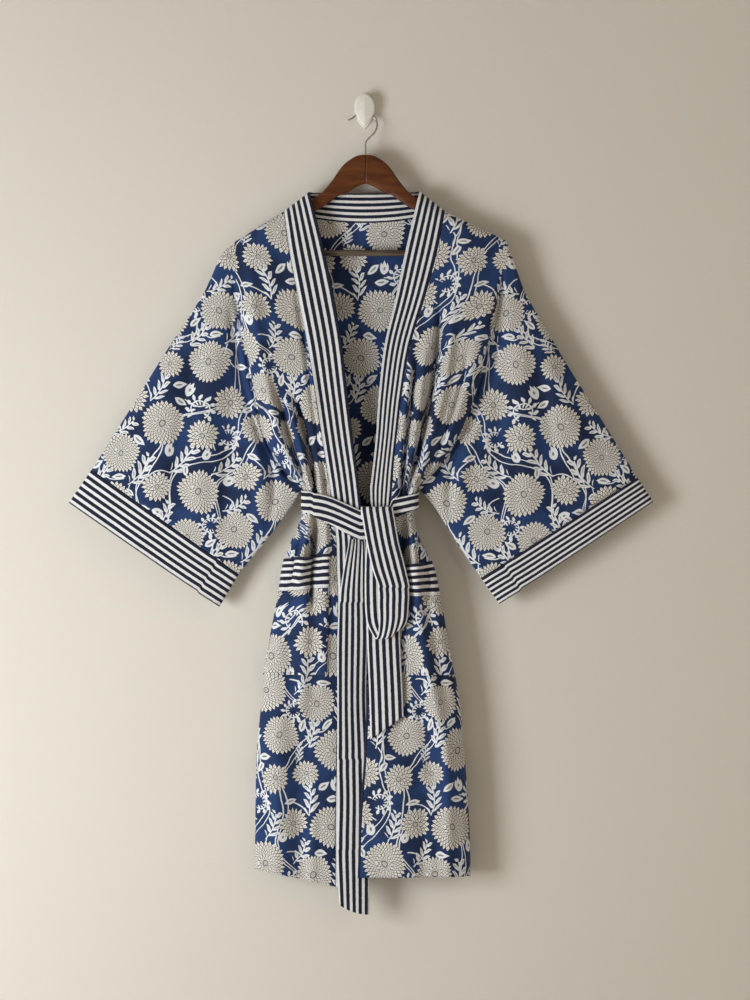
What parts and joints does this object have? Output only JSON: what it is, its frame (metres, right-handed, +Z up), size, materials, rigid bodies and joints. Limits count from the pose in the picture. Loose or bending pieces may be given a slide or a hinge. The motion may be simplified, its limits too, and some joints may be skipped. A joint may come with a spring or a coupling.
{
  "type": "kimono robe on a hanger and wall hook",
  "caption": "Open-front cotton kimono robe with wide sleeves, neck band, pockets and tied belt, on a wooden hanger from a leaf-shaped wall hook.",
  "frame": {"origin": "middle of the wall hook's flat back face, on the wall", "axes": "+Y into the wall, +Z up, +X to the wearer's left"},
  "size_m": [1.0216, 0.0883, 1.435],
  "materials": {
    "printed_cotton": "plain woven cotton, blue ground with a cream flower print",
    "striped_cotton": "plain woven cotton, navy and off-white stripes",
    "dark_wood": "satin lacquer",
    "bright_steel": "bright plated wire",
    "white_plastic": "glossy white"
  },
  "bodies": {
    "root": {"back_panel": "printed_cotton", "back_skirt": "printed_cotton", "front_panel_right": "printed_cotton", "front_panel_left": "printed_cotton", "front_skirt_right": "printed_cotton", "front_skirt_left": "printed_cotton", "sleeve_right": "printed_cotton", "sleeve_left": "printed_cotton", "pocket_right": "printed_cotton", "pocket_left": "printed_cotton", "neck_band_right": "striped_cotton", "neck_band_left": "striped_cotton", "neck_band_back": "striped_cotton", "cuff_right": "striped_cotton", "cuff_left": "striped_cotton", "pocket_band_right": "striped_cotton", "pocket_band_left": "striped_cotton", "belt_wrap": "striped_cotton", "belt_knot": "striped_cotton", "belt_loop": "striped_cotton", "belt_tail_long": "striped_cotton", "belt_tail_short": "striped_cotton", "hanger_arm_right": "dark_wood", "hanger_arm_left": "dark_wood", "hanger_bar": "dark_wood", "hanger_hook": "bright_steel", "wall_hook": "white_plastic"}
  },
  "joints": []
}
